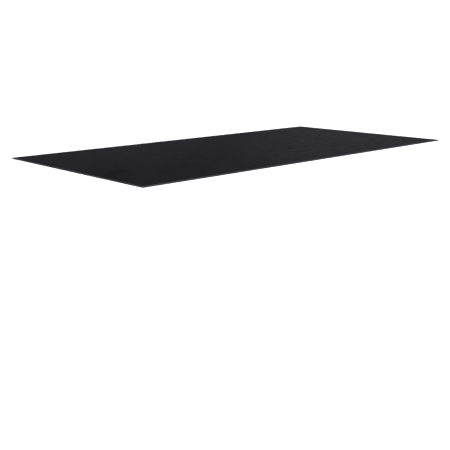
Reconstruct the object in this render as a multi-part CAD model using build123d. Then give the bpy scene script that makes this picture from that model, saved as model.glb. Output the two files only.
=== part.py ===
from build123d import *
import os

# A rigid, laminated chair mat: a thin flat panel with banded edges on a rubber grip underlay.
#
# The panel is a sandwich of three sheets glued face to face: a hard wear sheet that casters roll on,
# a fibreboard core, and a backing sheet that balances the wear sheet so that the panel stays flat.
# Four edge bands close the sandwich all round. A thin rubber underlay, glued to the backing sheet and
# set in from the edges, grips the floor.
#
# Frame: millimetres. The origin is the centre of the underside, where the mat rests on the floor.
# +X runs along the length, +Y runs from the front edge to the back edge, and +Z points up.

# The mat's outside
LENGTH = 1828.8  # 72 in
WIDTH = 914.4  # 36 in

# The thickness of each layer, from the top down
WEAR_THICKNESS = 0.8
CORE_THICKNESS = 2.5
BACKING_THICKNESS = 0.7
UNDERLAY_THICKNESS = 1.0

# The edge bands
BAND_THICKNESS = 2.0
CORNER_RADIUS = 2.0  # the mat's upright corners
TOP_ARRIS_RADIUS = 1.5  # the band's trimmed top edge
BOTTOM_ARRIS_RADIUS = 0.5

# The underlay stops short of the mat's edges by this much, so that it never shows from above
UNDERLAY_INSET = 8.0
UNDERLAY_CORNER_RADIUS = 10.0

# The levels at which the layers meet, measured from the floor
UNDERLAY_TOP = UNDERLAY_THICKNESS
BACKING_TOP = UNDERLAY_TOP + BACKING_THICKNESS
CORE_TOP = BACKING_TOP + CORE_THICKNESS
MAT_TOP = CORE_TOP + WEAR_THICKNESS

# The sandwich fills the space inside the bands
SHEET_LENGTH = LENGTH - 2 * BAND_THICKNESS
SHEET_WIDTH = WIDTH - 2 * BAND_THICKNESS


def slab(length, width, bottom, top, x=0.0, y=0.0):
    """A square-cornered slab centred on (x, y), between two levels."""
    return Pos(x, y, (bottom + top) / 2) * Box(length, width, top - bottom)


def sheet(bottom, top):
    """One layer of the sandwich, cut to fit inside the bands."""
    return slab(SHEET_LENGTH, SHEET_WIDTH, bottom, top)


def banded_outline():
    """The outside of the whole panel, with its corners and its top and bottom arrises eased."""
    panel = slab(LENGTH, WIDTH, UNDERLAY_TOP, MAT_TOP)
    panel = fillet(panel.edges().filter_by(Axis.Z), CORNER_RADIUS)
    panel = fillet(panel.faces().sort_by(Axis.Z)[-1].edges(), TOP_ARRIS_RADIUS)
    return fillet(panel.faces().sort_by(Axis.Z)[0].edges(), BOTTOM_ARRIS_RADIUS)


def long_edge_band(outline, side):
    """The front (side -1) or back (side +1) band, which runs the mat's full length past the corners."""
    y = side * (WIDTH - BAND_THICKNESS) / 2
    return outline & slab(LENGTH, BAND_THICKNESS, UNDERLAY_TOP, MAT_TOP, y=y)


def short_edge_band(outline, side):
    """The left (side -1) or right (side +1) band, which butts against the two long bands."""
    x = side * (LENGTH - BAND_THICKNESS) / 2
    return outline & slab(BAND_THICKNESS, SHEET_WIDTH, UNDERLAY_TOP, MAT_TOP, x=x)


def grip_underlay():
    """The rubber sheet under the panel, with rounded corners so that they don't peel."""
    length = LENGTH - 2 * UNDERLAY_INSET
    width = WIDTH - 2 * UNDERLAY_INSET
    underlay = slab(length, width, 0.0, UNDERLAY_TOP)
    return fillet(underlay.edges().filter_by(Axis.Z), UNDERLAY_CORNER_RADIUS)


def chair_mat():
    """Every piece of the mat, by name."""
    outline = banded_outline()
    return {
        "wear_sheet": sheet(CORE_TOP, MAT_TOP),
        "core_board": sheet(BACKING_TOP, CORE_TOP),
        "backing_sheet": sheet(UNDERLAY_TOP, BACKING_TOP),
        "front_edge_band": long_edge_band(outline, -1),
        "back_edge_band": long_edge_band(outline, 1),
        "left_edge_band": short_edge_band(outline, -1),
        "right_edge_band": short_edge_band(outline, 1),
        "grip_underlay": grip_underlay(),
    }


os.makedirs("parts", exist_ok=True)
for name, piece in chair_mat().items():
    export_step(piece, f"parts/{name}.step")
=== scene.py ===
from math import ceil, cos, pi, radians, sin

import bmesh
import bpy
from mathutils import Matrix, Vector
from mathutils.geometry import delaunay_2d_cdt


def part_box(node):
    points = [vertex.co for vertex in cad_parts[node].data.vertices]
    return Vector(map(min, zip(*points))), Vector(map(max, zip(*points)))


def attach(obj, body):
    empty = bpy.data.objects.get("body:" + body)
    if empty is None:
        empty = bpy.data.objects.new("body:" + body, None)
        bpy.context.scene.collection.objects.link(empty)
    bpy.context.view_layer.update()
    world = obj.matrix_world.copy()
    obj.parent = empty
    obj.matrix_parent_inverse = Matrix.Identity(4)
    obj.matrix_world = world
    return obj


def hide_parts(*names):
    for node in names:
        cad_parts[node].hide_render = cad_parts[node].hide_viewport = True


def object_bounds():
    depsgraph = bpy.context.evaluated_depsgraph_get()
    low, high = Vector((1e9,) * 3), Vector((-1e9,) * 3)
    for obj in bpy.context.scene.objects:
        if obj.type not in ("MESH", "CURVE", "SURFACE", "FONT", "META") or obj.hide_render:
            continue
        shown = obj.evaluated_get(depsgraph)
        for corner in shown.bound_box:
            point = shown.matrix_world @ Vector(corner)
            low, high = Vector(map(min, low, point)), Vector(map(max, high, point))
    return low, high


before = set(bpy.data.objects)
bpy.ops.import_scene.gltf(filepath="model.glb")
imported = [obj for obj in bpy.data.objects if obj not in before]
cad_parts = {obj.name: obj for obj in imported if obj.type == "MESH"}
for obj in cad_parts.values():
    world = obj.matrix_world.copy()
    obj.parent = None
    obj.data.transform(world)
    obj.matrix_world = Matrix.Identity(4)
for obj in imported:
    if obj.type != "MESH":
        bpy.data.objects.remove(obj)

# A thin black laminated chair mat on a white studio floor. Metres, in the CAD model's frame: +X along
# the mat's length, +Y from its front edge to its back edge, +Z up, and the floor at z = 0.

CAD_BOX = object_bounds()
MM = 0.001

# ----------------------------------------------------------------------------------------------------
# The mat's sizes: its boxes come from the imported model, and the rest are shapes that boxes don't show
# ----------------------------------------------------------------------------------------------------

HALF_LENGTH, HALF_WIDTH, MAT_TOP = CAD_BOX[1]
SHEET_LOW, SHEET_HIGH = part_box("wear_sheet")
UNDERLAY_LOW, UNDERLAY_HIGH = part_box("grip_underlay")
BAND = HALF_WIDTH - SHEET_HIGH.y
BAND_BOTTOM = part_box("front_edge_band")[0].z
TOP_ARRIS = 1.5 * MM
BOTTOM_ARRIS = 0.5 * MM
EASE = 0.12 * MM  # cut edges are broken by this much, which leaves a hairline along each joint
SAME_CORNER = 0.1 * EASE  # a mesh's corners that are nearer to each other than this are merged

# How far the wear sheet's surface wanders below its nominal level, and over what distance the
# wandering dies out at its rim
WEAR_DIP = 0.06 * MM
WEAR_FADE = 40 * MM

# The underlay's relief: low round studs in staggered rows
UNDERLAY_CORNER = 10 * MM
STUD_HEIGHT = 0.5 * MM
STUD_PITCH = 30 * MM
STUD_BASE_RADIUS = 8.0 * MM
STUD_TOP_RADIUS = 7.0 * MM
STUD_ROUNDING = 0.12 * MM
STUD_BORDER = 16 * MM  # plain rubber left between the studs and the underlay's edge

# How the flat rubber between the studs is cut into triangles: only inside its outline, and points
# nearer to each other than this, in metres, are one
INSIDE_TRIANGLES = 1
SAME_POINT = 1e-7

# How finely shapes are drawn
ARRIS_STEPS = 8
CORNER_STEPS = 10
STUD_SIDES = 12
BAND_STEP = 20 * MM
WEAR_CELL = 15 * MM
SHARP_ANGLE = radians(30)  # edges that turn more than this are drawn sharp

# ----------------------------------------------------------------------------------------------------
# Helpers for meshes
# ----------------------------------------------------------------------------------------------------


def finish_piece(name, mesh_builder, materials, node):
    """Turns a bmesh into a shown piece that rides on the mat and stands for one CAD node."""
    bmesh.ops.remove_doubles(mesh_builder, verts=mesh_builder.verts, dist=SAME_CORNER)
    bmesh.ops.recalc_face_normals(mesh_builder, faces=mesh_builder.faces)
    mesh = bpy.data.meshes.new(name)
    mesh_builder.to_mesh(mesh)
    mesh_builder.free()
    for material in materials:
        mesh.materials.append(material)
    mesh.shade_smooth()
    mesh.set_sharp_from_angle(angle=SHARP_ANGLE)
    piece = bpy.data.objects.new(name, mesh)
    bpy.context.scene.collection.objects.link(piece)
    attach(piece, "root")
    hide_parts(node)


def arc(centre, radius, start, turn, steps):
    """Points on an arc, as (x, y) pairs, from the angle start through turn."""
    angles = [start + turn * i / steps for i in range(steps + 1)]
    return [(centre[0] + radius * cos(a), centre[1] + radius * sin(a)) for a in angles]


def join(mesh_builder, ring, following):
    """Joins two rings of corners by a face on each side, and returns the faces."""
    faces = []
    for i in range(len(ring)):
        j = (i + 1) % len(ring)
        faces.append(mesh_builder.faces.new((ring[i], ring[j], following[j], following[i])))
    return faces


def skin(mesh_builder, rings, strip_slot):
    """Joins rings of points into a tube, and closes its ends. strip_slot gives each strip's material slot."""
    made = [[mesh_builder.verts.new(point) for point in ring] for ring in rings]
    for ring, following in zip(made, made[1:]):
        for strip, face in enumerate(join(mesh_builder, ring, following)):
            face.material_index = strip_slot(strip)
    mesh_builder.faces.new(made[0])
    mesh_builder.faces.new(made[-1])


def spaced(low, high, step):
    """Evenly spaced numbers from low to high, no further apart than step."""
    count = ceil((high - low) / step)
    return [low + (high - low) * i / count for i in range(count + 1)]


# ----------------------------------------------------------------------------------------------------
# Helpers for materials
# ----------------------------------------------------------------------------------------------------

# Most of a noise's values lie in these ranges
NOISE_SPAN = (0.35, 0.65)
WIDE_NOISE_SPAN = (0.3, 0.7)

# The Mix node's inputs for its factor and its two colours, and its output for their mix
FACTOR, FIRST_COLOUR, SECOND_COLOUR = 0, 6, 7
MIXED_COLOUR = 2


def add(tree, kind, inputs=None, **settings):
    """Adds a node. Each input, by name or number, is given a value or the socket that feeds it."""
    node = tree.nodes.new(kind)
    for setting, value in settings.items():
        setattr(node, setting, value)
    for key, value in (inputs or {}).items():
        if isinstance(value, bpy.types.NodeSocket):
            tree.links.new(value, node.inputs[key])
        else:
            node.inputs[key].default_value = value
    return node


def rgba(colour):
    """A colour as a socket takes it. A socket that feeds a colour passes through."""
    return colour if isinstance(colour, bpy.types.NodeSocket) else (*colour, 1)


def ramp(tree, factor, *stops):
    """A colour ramp with (position, colour) stops."""
    node = add(tree, "ShaderNodeValToRGB", {"Fac": factor})
    elements = node.color_ramp.elements
    while len(elements) < len(stops):
        elements.new(1.0)
    for element, (position, colour) in zip(elements, stops):
        element.position = position
        element.color = rgba(colour)
    return node.outputs["Color"]


def shades(tree, tone, span, colours):
    """The two colours at the two ends of a tone's span, and what lies between them."""
    return ramp(tree, tone, *zip(span, colours))


def coordinates(tree, stretch=(1, 1, 1), turn=0.0, start=(0, 0, 0)):
    """Places in metres from start. A pattern laid on them is stretched, and then turned about +Z."""
    place = add(tree, "ShaderNodeTexCoord").outputs["Object"]
    inputs = {"Vector": place, "Scale": stretch, "Rotation": (0, 0, turn), "Location": start}
    return add(tree, "ShaderNodeMapping", inputs, vector_type="TEXTURE").outputs["Vector"]


def noise(tree, vector, grain, detail=2.0, roughness=0.5):
    """Noise whose blotches are about grain metres across, from 0 to 1."""
    inputs = {"Vector": vector, "Scale": 1 / grain, "Detail": detail, "Roughness": roughness}
    return add(tree, "ShaderNodeTexNoise", inputs).outputs["Fac"]


def pebbles(tree, vector, grain):
    """Rounded cells about grain metres across: 0 in their middles, and near 1 between them."""
    inputs = {"Vector": vector, "Scale": 1 / grain, "Smoothness": 0.6}
    return add(tree, "ShaderNodeTexVoronoi", inputs, feature="SMOOTH_F1").outputs["Distance"]


def patch(tree, vector):
    """A soft round patch: 1 at the vector's start, fading evenly to 0 at a distance of 1."""
    return add(tree, "ShaderNodeTexGradient", {"Vector": vector}, gradient_type="SPHERICAL").outputs["Fac"]


def rim_distance(tree, half_length, half_width):
    """How far a place is from the nearest edge of a rectangle about the origin, in metres."""
    place = add(tree, "ShaderNodeSeparateXYZ", {"Vector": coordinates(tree)})
    to_end = maths(tree, "SUBTRACT", half_length, maths(tree, "ABSOLUTE", place.outputs["X"]))
    to_side = maths(tree, "SUBTRACT", half_width, maths(tree, "ABSOLUTE", place.outputs["Y"]))
    return maths(tree, "MINIMUM", to_end, to_side)


def between(tree, value, low, high, to_low, to_high):
    """Maps value from one range to another, and holds it inside."""
    inputs = {"Value": value, "From Min": low, "From Max": high, "To Min": to_low, "To Max": to_high}
    return add(tree, "ShaderNodeMapRange", inputs).outputs["Result"]


def maths(tree, operation, first, second=0.0):
    """The result of one operation on values or sockets. Some operations don't use the second."""
    return add(tree, "ShaderNodeMath", {0: first, 1: second}, operation=operation).outputs["Value"]


def blend(tree, *parts):
    """The sum of (value, weight) pairs."""
    total = 0.0
    for value, weight in parts:
        total = maths(tree, "ADD", total, maths(tree, "MULTIPLY", value, weight))
    return total


def bump(tree, height, depth, strength=1.0, over=None):
    """A bump of a real depth in metres, laid over another bump if one is given."""
    inputs = {"Height": height, "Distance": depth, "Strength": strength}
    if over:
        inputs["Normal"] = over
    return add(tree, "ShaderNodeBump", inputs).outputs["Normal"]


def mix(tree, factor, first, second, kind="MIX"):
    """Two colours mixed: only the first where the factor is 0, and only the second where it is 1."""
    inputs = {FACTOR: factor, FIRST_COLOUR: rgba(first), SECOND_COLOUR: rgba(second)}
    return add(tree, "ShaderNodeMix", inputs, data_type="RGBA", blend_type=kind).outputs[MIXED_COLOUR]


def product(tree, first, second):
    """The product of two colours."""
    return mix(tree, 1.0, first, second, kind="MULTIPLY")


def new_material(name, **uniform):
    """A material with one Principled shader. Values that are the same all over are set on its sockets."""
    material = bpy.data.materials.new(name)
    material.use_nodes = True
    shader = material.node_tree.nodes["Principled BSDF"]
    for socket, value in uniform.items():
        shader.inputs[socket.replace("_", " ")].default_value = value
    return material, material.node_tree, shader


def feed(tree, shader, **sockets):
    """Links what varies over the surface to the shader's sockets."""
    for socket, value in sockets.items():
        tree.links.new(value, shader.inputs[socket.replace("_", " ")])


# ----------------------------------------------------------------------------------------------------
# Materials
# ----------------------------------------------------------------------------------------------------

# The laminate's clouds: where their noise starts, which way they run from +X, how much longer they
# are than wide, and their darkest and palest colours
CLOUD_START = (0.4, -1.3, 0.0)
CLOUD_HEADING = radians(47)
CLOUD_STRETCH = (4, 1, 1)
CLOUD_COLOURS = ((0.0001, 0.0001, 0.0001), (0.0030, 0.0029, 0.0037))

# A broad painted sheen that makes the sheet paler towards its back: its middle, beyond the back edge, and its
# reach along and across
PAINTED_SHEEN_MIDDLE = (-0.3, 0.8, 0.0)
PAINTED_SHEEN_REACH = (1.3, 1.0, 1.0)
PAINTED_SHEEN_COLOUR = (0.0108, 0.0105, 0.0129)

# The pebble: its cells' size, its values from their middles outwards, and the tint of their middles
PEBBLE_GRAIN = 1.6 * MM
PEBBLE_SPAN = (0.15, 0.55)
PEBBLE_COLOUR = (0.0070, 0.0067, 0.0083)

# The streaks that wiping left, which are the peaks of a long noise: how strongly their colour shows,
# and how much smoother they are
WIPE_HEADING = radians(24)
WIPE_STRETCH = (14, 1, 1)
WIPE_SPAN = (0.62, 0.78)
WIPE_COLOUR = (0.015, 0.015, 0.0165)
WIPE_SHOWS = 0.12
WIPE_SMOOTHS = 0.06

# The rim that trimming polished, in the same way
RIM_WIDTH = 4 * MM
RIM_COLOUR = (0.014, 0.014, 0.015)
RIM_SHOWS = 0.5
RIM_SMOOTHS = 0.15


def wear_laminate():
    """Satin black laminate: a fine pebble, long faint clouds, a painted sheen towards the back, and a rim
    polished by trimming.
    """
    material, tree, shader = new_material("wear_laminate", Specular_IOR_Level=0.25)
    place = coordinates(tree)
    cloud_place = coordinates(tree, stretch=CLOUD_STRETCH, turn=CLOUD_HEADING, start=CLOUD_START)
    clouds = noise(tree, cloud_place, grain=0.20, detail=1.5)
    blotches = noise(tree, place, grain=0.035, detail=3.0, roughness=0.6)
    pebble = pebbles(tree, place, PEBBLE_GRAIN)
    ripple = noise(tree, place, grain=14 * MM, detail=1.0)
    tone = blend(tree, (clouds, 0.8), (blotches, 0.2))
    # Painted sheen: the colour grows paler towards the back edge, in place of reflected light
    painted_sheen = patch(tree, coordinates(tree, stretch=PAINTED_SHEEN_REACH, start=PAINTED_SHEEN_MIDDLE))
    with_painted_sheen = mix(tree, painted_sheen, shades(tree, tone, NOISE_SPAN, CLOUD_COLOURS), PAINTED_SHEEN_COLOUR)
    speckled = mix(tree, between(tree, pebble, *PEBBLE_SPAN, 0.5, 0.0), with_painted_sheen, PEBBLE_COLOUR)

    wiped = noise(tree, coordinates(tree, stretch=WIPE_STRETCH, turn=WIPE_HEADING), grain=12 * MM)
    marks = between(tree, wiped, *WIPE_SPAN, 0.0, 1.0)
    rim = between(tree, rim_distance(tree, SHEET_HIGH.x, SHEET_HIGH.y), 0.0, RIM_WIDTH, 1.0, 0.0)
    polish = maths(tree, "MULTIPLY", rim, between(tree, blotches, *NOISE_SPAN, 0.2, 1.0))
    marked = mix(tree, maths(tree, "MULTIPLY", marks, WIPE_SHOWS), speckled, WIPE_COLOUR)
    colour = mix(tree, maths(tree, "MULTIPLY", polish, RIM_SHOWS), marked, RIM_COLOUR)

    from_wiping = maths(tree, "MULTIPLY", marks, WIPE_SMOOTHS)
    from_trimming = maths(tree, "MULTIPLY", polish, RIM_SMOOTHS)
    smoother = maths(tree, "MAXIMUM", from_wiping, from_trimming)
    roughness = maths(tree, "SUBTRACT", between(tree, blotches, *NOISE_SPAN, 0.50, 0.42), smoother)
    normal = bump(tree, pebble, depth=0.25 * MM, over=bump(tree, ripple, depth=0.1 * MM))
    feed(tree, shader, Base_Color=colour, Roughness=roughness, Normal=normal)
    return material


def band_plastic(name, colours, roughnesses, shine):
    """Plastic edging: fine lines along it from extrusion, and chatter across it from the cutter."""
    material, tree, shader = new_material(name, Specular_IOR_Level=shine)
    large = noise(tree, coordinates(tree), grain=0.09)
    small = noise(tree, coordinates(tree), grain=0.012)
    patches = blend(tree, (large, 0.6), (small, 0.4))
    lines = noise(tree, coordinates(tree, stretch=(60, 60, 1)), grain=0.45 * MM)
    chatter = noise(tree, coordinates(tree, stretch=(1, 1, 12)), grain=2.5 * MM, detail=1.0)
    tone = blend(tree, (patches, 0.75), (lines, 0.25))
    colour = shades(tree, tone, NOISE_SPAN, colours)
    roughness = between(tree, tone, *NOISE_SPAN, *roughnesses)
    lined = bump(tree, lines, depth=0.02 * MM, strength=0.6)
    normal = bump(tree, chatter, depth=0.03 * MM, strength=0.5, over=lined)
    feed(tree, shader, Base_Color=colour, Roughness=roughness, Normal=normal)
    return material


def backing_laminate():
    """The charcoal backing sheet, sanded along its length."""
    material, tree, shader = new_material("backing_laminate", Specular_IOR_Level=0.3)
    sanding = noise(tree, coordinates(tree, stretch=(25, 1, 1)), grain=2 * MM)
    clouds = noise(tree, coordinates(tree), grain=0.08, detail=3.0)
    tone = blend(tree, (sanding, 0.6), (clouds, 0.4))
    colour = shades(tree, tone, WIDE_NOISE_SPAN, ((0.022, 0.021, 0.020), (0.045, 0.042, 0.039)))
    roughness = between(tree, tone, *WIDE_NOISE_SPAN, 0.75, 0.6)
    normal = bump(tree, sanding, depth=0.04 * MM, strength=0.5)
    feed(tree, shader, Base_Color=colour, Roughness=roughness, Normal=normal)
    return material


def core_fibreboard():
    """Dense fibreboard: short, matted brown fibres that lie flat."""
    material, tree, shader = new_material("core_fibreboard", Specular_IOR_Level=0.2)
    fibres = noise(tree, coordinates(tree, stretch=(6, 6, 1)), grain=0.7 * MM, detail=4.0, roughness=0.7)
    patches = noise(tree, coordinates(tree), grain=0.05)
    tone = blend(tree, (fibres, 0.7), (patches, 0.3))
    colour = shades(tree, tone, WIDE_NOISE_SPAN, ((0.15, 0.085, 0.045), (0.33, 0.22, 0.13)))
    roughness = between(tree, tone, *WIDE_NOISE_SPAN, 0.9, 0.8)
    normal = bump(tree, fibres, depth=0.1 * MM, strength=0.5)
    feed(tree, shader, Base_Color=colour, Roughness=roughness, Normal=normal)
    return material


def grip_rubber(name, colours, roughnesses):
    """Black rubber with a fine grain, and a pale bloom that comes and goes."""
    material, tree, shader = new_material(name, Specular_IOR_Level=0.35)
    bloom = noise(tree, coordinates(tree), grain=0.12, detail=4.0, roughness=0.6)
    pebble = pebbles(tree, coordinates(tree), grain=2.2 * MM)
    tone = blend(tree, (bloom, 0.75), (pebble, 0.25))
    colour = shades(tree, tone, NOISE_SPAN, colours)
    roughness = between(tree, tone, *NOISE_SPAN, *roughnesses)
    normal = bump(tree, pebble, depth=0.12 * MM, strength=0.8)
    feed(tree, shader, Base_Color=colour, Roughness=roughness, Normal=normal)
    return material


# ----------------------------------------------------------------------------------------------------
# The wear sheet
# ----------------------------------------------------------------------------------------------------


def wear_dip(x, y):
    """How far the glued laminate lies below its nominal level: long, faint waves that die out at its rim.

    The waves' numbers are radians per metre along X and Y, and phases.
    """
    crossed = sin(x * 9.1 + 0.7) * cos(y * 11.3 - 0.4)
    slanted = sin(x * 21.0 - y * 13.0 + 1.9)
    short = cos(x * 33.0 + y * 41.0)
    waves = crossed + 0.6 * slanted + 0.3 * short
    deepest = 1 + 0.6 + 0.3
    rim = min(SHEET_HIGH.x - abs(x), SHEET_HIGH.y - abs(y)) / WEAR_FADE
    return WEAR_DIP * min(1.0, max(0.0, rim)) * (waves / deepest + 1) / 2


def wear_surface(material):
    """The wear sheet: a gridded top with an eased rim all round, sides, and a plain underside."""
    build = bmesh.new()
    rim_x, rim_y = SHEET_HIGH.x - EASE, SHEET_HIGH.y - EASE
    xs = [-SHEET_HIGH.x, *spaced(-rim_x, rim_x, WEAR_CELL), SHEET_HIGH.x]
    ys = [-SHEET_HIGH.y, *spaced(-rim_y, rim_y, WEAR_CELL), SHEET_HIGH.y]

    def layer(level, ease, dip):
        grid = {}
        for i, x in enumerate(xs):
            for j, y in enumerate(ys):
                on_rim = i in (0, len(xs) - 1) or j in (0, len(ys) - 1)
                z = level - ease if on_rim else level - (wear_dip(x, y) if dip else 0)
                grid[i, j] = build.verts.new((x, y, z))
        for i in range(len(xs) - 1):
            for j in range(len(ys) - 1):
                build.faces.new((grid[i, j], grid[i + 1, j], grid[i + 1, j + 1], grid[i, j + 1]))
        return grid

    top = layer(SHEET_HIGH.z, EASE, dip=True)
    bottom = layer(SHEET_LOW.z, -EASE, dip=False)
    last_i, last_j = len(xs) - 1, len(ys) - 1
    rim = [(i, 0) for i in range(last_i)] + [(last_i, j) for j in range(last_j)]
    rim += [(i, last_j) for i in range(last_i, 0, -1)] + [(0, j) for j in range(last_j, 0, -1)]
    join(build, [top[place] for place in rim], [bottom[place] for place in rim])
    finish_piece("wear_surface", build, [material], "wear_sheet")


# ----------------------------------------------------------------------------------------------------
# The edge bands
# ----------------------------------------------------------------------------------------------------


def band_profile(inset=0.0):
    """The band's section, as (depth in from the outer face, height) pairs, shrunk all round by inset."""
    low, high = BAND_BOTTOM + inset, MAT_TOP - inset
    outer, inner = inset, BAND - inset
    top, bottom = TOP_ARRIS - inset, BOTTOM_ARRIS - inset / 2
    outline = arc((outer + bottom, low + bottom), bottom, -pi / 2, -pi / 2, ARRIS_STEPS // 2)
    outline += arc((outer + top, high - top), top, pi, -pi / 2, ARRIS_STEPS)
    outline += [(inner - EASE, high), (inner, high - EASE), (inner, low + EASE), (inner - EASE, low)]
    return outline


# The strips of band_profile that the trimming cutter rounds off: the top arris
FIRST_TRIMMED = ARRIS_STEPS // 2 + 1
TRIMMED_STRIPS = range(FIRST_TRIMMED, FIRST_TRIMMED + ARRIS_STEPS)


def band_ring(place, outward, profile):
    """One section of a band, where its outer face passes through place and faces outward."""
    return [
        Vector((place[0] - outward[0] * depth, place[1] - outward[1] * depth, height))
        for depth, height in profile
    ]


def band_slot(strip):
    """The material slot of one strip of a band: 1 where the cutter has rounded it, and 0 elsewhere."""
    return 1 if strip in TRIMMED_STRIPS else 0


def long_band(side, materials):
    """The front (side -1) or back (side 1) band: round one corner, along the mat, and round the next."""
    centre_x, centre_y = HALF_LENGTH - BAND, HALF_WIDTH - BAND
    full, eased = band_profile(), band_profile(EASE)
    ease_angle = EASE / BAND
    turns = [ease_angle + (pi / 2 - ease_angle) * i / CORNER_STEPS for i in range(CORNER_STEPS + 1)]
    stations = [(-centre_x, 0.0, eased)] + [(-centre_x, turn, full) for turn in turns]
    stations += [(x, pi / 2, full) for x in spaced(-centre_x, centre_x, BAND_STEP)[1:-1]]
    stations += [(centre_x, pi - turn, full) for turn in reversed(turns)]
    stations.append((centre_x, pi, eased))
    rings = []
    for x, turn, profile in stations:
        outward = (-cos(turn), side * sin(turn))
        place = (x + outward[0] * BAND, side * centre_y + outward[1] * BAND)
        rings.append(band_ring(place, outward, profile))
    build = bmesh.new()
    skin(build, rings, band_slot)
    end = "front" if side < 0 else "back"
    finish_piece(f"{end}_band", build, materials, f"{end}_edge_band")


def short_band(side, materials):
    """The left (side -1) or right (side 1) band, which butts against the long bands."""
    reach = HALF_WIDTH - BAND
    full, eased = band_profile(), band_profile(EASE)
    stations = [(-reach, eased)] + [(y, full) for y in spaced(EASE - reach, reach - EASE, BAND_STEP)]
    stations.append((reach, eased))
    rings = [band_ring((side * HALF_LENGTH, y), (side, 0), profile) for y, profile in stations]
    build = bmesh.new()
    skin(build, rings, band_slot)
    end = "left" if side < 0 else "right"
    finish_piece(f"{end}_band", build, materials, f"{end}_edge_band")


# ----------------------------------------------------------------------------------------------------
# The grip underlay
# ----------------------------------------------------------------------------------------------------


def underlay_outline():
    """The underlay's outline, counterclockwise, as (x, y) pairs."""
    reach_x, reach_y = UNDERLAY_HIGH.x - UNDERLAY_CORNER, UNDERLAY_HIGH.y - UNDERLAY_CORNER
    corners = [(reach_x, reach_y), (-reach_x, reach_y), (-reach_x, -reach_y), (reach_x, -reach_y)]
    outline = []
    for quarter, corner in enumerate(corners):
        outline += arc(corner, UNDERLAY_CORNER, quarter * pi / 2, pi / 2, CORNER_STEPS)
    return outline


def stud_places():
    """The centres of the studs: staggered rows, centred on the mat."""
    row_pitch = STUD_PITCH * sin(pi / 3)
    reach_x = UNDERLAY_HIGH.x - STUD_BORDER - STUD_BASE_RADIUS
    reach_y = UNDERLAY_HIGH.y - STUD_BORDER - STUD_BASE_RADIUS
    rows, columns = int(reach_y / row_pitch), int(reach_x / STUD_PITCH)
    places = []
    for row in range(-rows, rows + 1):
        shift = 0.5 if row % 2 else 0.0
        for column in range(-columns, columns + 1):
            x = (column + shift) * STUD_PITCH
            if abs(x) <= reach_x:
                places.append((x, row * row_pitch))
    return places


def circle(centre, radius):
    """The corners of a stud's round outline, as (x, y) pairs."""
    return arc(centre, radius, 0.0, 2 * pi, STUD_SIDES)[:-1]


def flat_rubber(build, outline, studs):
    """The flat rubber between the studs. Returns its corners along its outline, and then round each stud."""
    flat_points = [Vector(point) for point in outline]
    loops = [list(range(len(outline)))]
    for centre in studs:
        first = len(flat_points)
        flat_points += [Vector(point) for point in circle(centre, STUD_BASE_RADIUS)]
        loops.append(list(range(first, first + STUD_SIDES)))
    points, _, triangles, kept, _, origins = delaunay_2d_cdt(
        flat_points, [], loops, INSIDE_TRIANGLES, SAME_POINT
    )

    level = UNDERLAY_LOW.z + STUD_HEIGHT
    floor = [build.verts.new((*point, level)) for point in points]
    place_of = {}
    for new, olds in enumerate(kept):
        for old in olds:
            place_of[old] = floor[new]
    for triangle, owners in zip(triangles, origins):
        if set(owners) == {0}:  # inside the outline, and in no stud
            build.faces.new([floor[i] for i in triangle])
    return [[place_of[i] for i in loop] for loop in loops]


def stud(build, centre, base):
    """One stud, from its base in the flat rubber to its rubbed top, which meets the floor."""
    rings = [base]
    for radius, height in ((STUD_TOP_RADIUS, STUD_ROUNDING), (STUD_TOP_RADIUS - STUD_ROUNDING, 0.0)):
        corners = circle(centre, radius)
        rings.append([build.verts.new((*corner, UNDERLAY_LOW.z + height)) for corner in corners])
    for ring, following in zip(rings, rings[1:]):
        join(build, ring, following)
    build.faces.new(rings[-1]).material_index = 1


def grip_mat(materials):
    """The rubber underlay: flat where it is glued on, with a moulded stud relief that meets the floor."""
    outline, studs = underlay_outline(), stud_places()
    build = bmesh.new()
    lower_rim, *bases = flat_rubber(build, outline, studs)
    for centre, base in zip(studs, bases):
        stud(build, centre, base)
    top = [build.verts.new((*point, UNDERLAY_HIGH.z)) for point in outline]
    join(build, lower_rim, top)
    build.faces.new(top)
    finish_piece("grip_mat", build, materials, "grip_underlay")


# ----------------------------------------------------------------------------------------------------
# The studio
# ----------------------------------------------------------------------------------------------------

# The camera stands low, off the mat's near left corner
CAMERA_PLACE = (-2.309, -2.347, 0.4405)
CAMERA_HEADING = radians(43.025)  # clockwise from +Y
CAMERA_DIP = radians(13.650)
CAMERA_ROLL = radians(-0.155)
CAMERA_LENS = 57.58  # mm, on the usual 36 mm sensor

FLOOR_RADIUS = 60.0
FLOOR_SIDES = 96
FLOOR_WHITE = (0.97, 0.97, 0.97, 1)
VIOLET = (1.0, 0.975, 1.06)  # the faint tint of the soft lights

# How bright the sky is at some heights, where 0 is the horizon and 1 is overhead
SKY_GLOW = (
    (0.0, (0.0, 0.0, 0.0)),
    (0.8, (0.02, 0.02, 0.02)),
    (0.92, (3.7, 3.7, 3.7)),
    (1.0, (3.7, 3.7, 3.7)),
)
SKY_STRENGTH = 1.15


def studio_floor():
    """A plain white floor that runs to the horizon."""
    build = bmesh.new()
    centre = build.verts.new((0, 0, 0))
    outline = arc((0, 0), FLOOR_RADIUS, 0.0, 2 * pi, FLOOR_SIDES)[:-1]
    rim = [build.verts.new((*point, 0)) for point in outline]
    for here, there in zip(rim, rim[1:] + rim[:1]):
        build.faces.new((centre, here, there))
    mesh = bpy.data.meshes.new("studio_floor")
    build.to_mesh(mesh)
    build.free()
    material, _, _ = new_material(
        "studio_floor", Base_Color=FLOOR_WHITE, Roughness=1.0, Specular_IOR_Level=0.0
    )
    mesh.materials.append(material)
    floor = bpy.data.objects.new("studio_floor", mesh)
    bpy.context.scene.collection.objects.link(floor)


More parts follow.
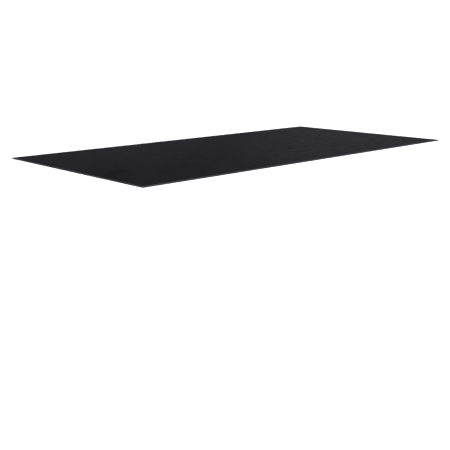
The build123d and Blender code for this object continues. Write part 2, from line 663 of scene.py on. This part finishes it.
def studio_sky():
    """White to the camera. As a light it is bright overhead and dim near the horizon."""
    world = bpy.data.worlds.new("studio_sky")
    bpy.context.scene.world = world
    world.use_nodes = True
    tree = world.node_tree
    direction = add(tree, "ShaderNodeTexCoord").outputs["Generated"]
    height = add(tree, "ShaderNodeSeparateXYZ", {"Vector": direction}).outputs["Z"]
    light = product(tree, ramp(tree, height, *SKY_GLOW), VIOLET)
    seen = add(tree, "ShaderNodeLightPath").outputs["Is Camera Ray"]
    background = tree.nodes["Background"].inputs
    background["Strength"].default_value = SKY_STRENGTH
    tree.links.new(mix(tree, seen, light, (1, 1, 1)), background["Color"])


def softbox(name, place, aim, size, power, tint=(1, 1, 1)):
    """A rectangular softbox at a place, aimed at a point, and hidden from the camera."""
    lamp = bpy.data.lights.new(name, "AREA")
    lamp.shape = "RECTANGLE"
    lamp.size, lamp.size_y = size
    lamp.energy = power
    lamp.color = tint
    light = bpy.data.objects.new(name, lamp)
    light.location = place
    light.rotation_euler = (Vector(aim) - Vector(place)).to_track_quat("-Z", "Y").to_euler()
    light.visible_camera = False
    bpy.context.scene.collection.objects.link(light)


def studio_camera():
    """The camera, level but for a slight roll, with no shift and no depth of field."""
    camera = bpy.data.objects.new("studio_camera", bpy.data.cameras.new("studio_camera"))
    camera.data.lens = CAMERA_LENS
    camera.data.clip_end = 2 * FLOOR_RADIUS
    turn = Matrix.Rotation(-CAMERA_HEADING, 4, "Z") @ Matrix.Rotation(pi / 2 - CAMERA_DIP, 4, "X")
    camera.matrix_world = Matrix.Translation(CAMERA_PLACE) @ turn @ Matrix.Rotation(CAMERA_ROLL, 4, "Z")
    bpy.context.scene.collection.objects.link(camera)
    bpy.context.scene.camera = camera


# ----------------------------------------------------------------------------------------------------
# Everything together
# ----------------------------------------------------------------------------------------------------

wear_surface(wear_laminate())

band_face = band_plastic(
    "band_face",
    colours=((0.004, 0.004, 0.0045), (0.007, 0.007, 0.0075)),
    roughnesses=(0.60, 0.50),
    shine=0.12,
)
# The trimmed arris: paler than the face from the cutter's stress-whitening, and paler still as a painted
# highlight along the top arris
band_trim_whitening_and_highlight = band_plastic(
    "band_trim_whitening_and_highlight",
    colours=((0.045, 0.045, 0.047), (0.066, 0.066, 0.069)),
    roughnesses=(0.34, 0.26),
    shine=0.5,
)
for side in (-1, 1):
    long_band(side, [band_face, band_trim_whitening_and_highlight])
    short_band(side, [band_face, band_trim_whitening_and_highlight])

plain_rubber = grip_rubber(
    "grip_rubber",
    colours=((0.014, 0.014, 0.014), (0.036, 0.035, 0.034)),
    roughnesses=(0.72, 0.88),
)
rubbed_rubber = grip_rubber(
    "stud_rubber",
    colours=((0.040, 0.039, 0.038), (0.075, 0.073, 0.070)),
    roughnesses=(0.50, 0.66),
)
grip_mat([plain_rubber, rubbed_rubber])

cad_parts["core_board"].material_slots[0].material = core_fibreboard()
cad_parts["backing_sheet"].material_slots[0].material = backing_laminate()

studio_floor()
studio_sky()
softbox("key", place=(0.8, -3.4, 3.6), aim=(-0.2, -0.2, 0.0), size=(2.0, 1.4), power=130)
softbox("far_right", place=(9.3, 5.4, 2.5), aim=(0.0, 0.0, 0.0), size=(5.0, 2.5), power=7.2, tint=VIOLET)
softbox("far_left", place=(3.5, 9.5, 2.5), aim=(0.0, 0.0, 0.0), size=(5.0, 2.5), power=0.5, tint=VIOLET)
studio_camera()
bpy.context.scene.view_settings.view_transform = "Standard"
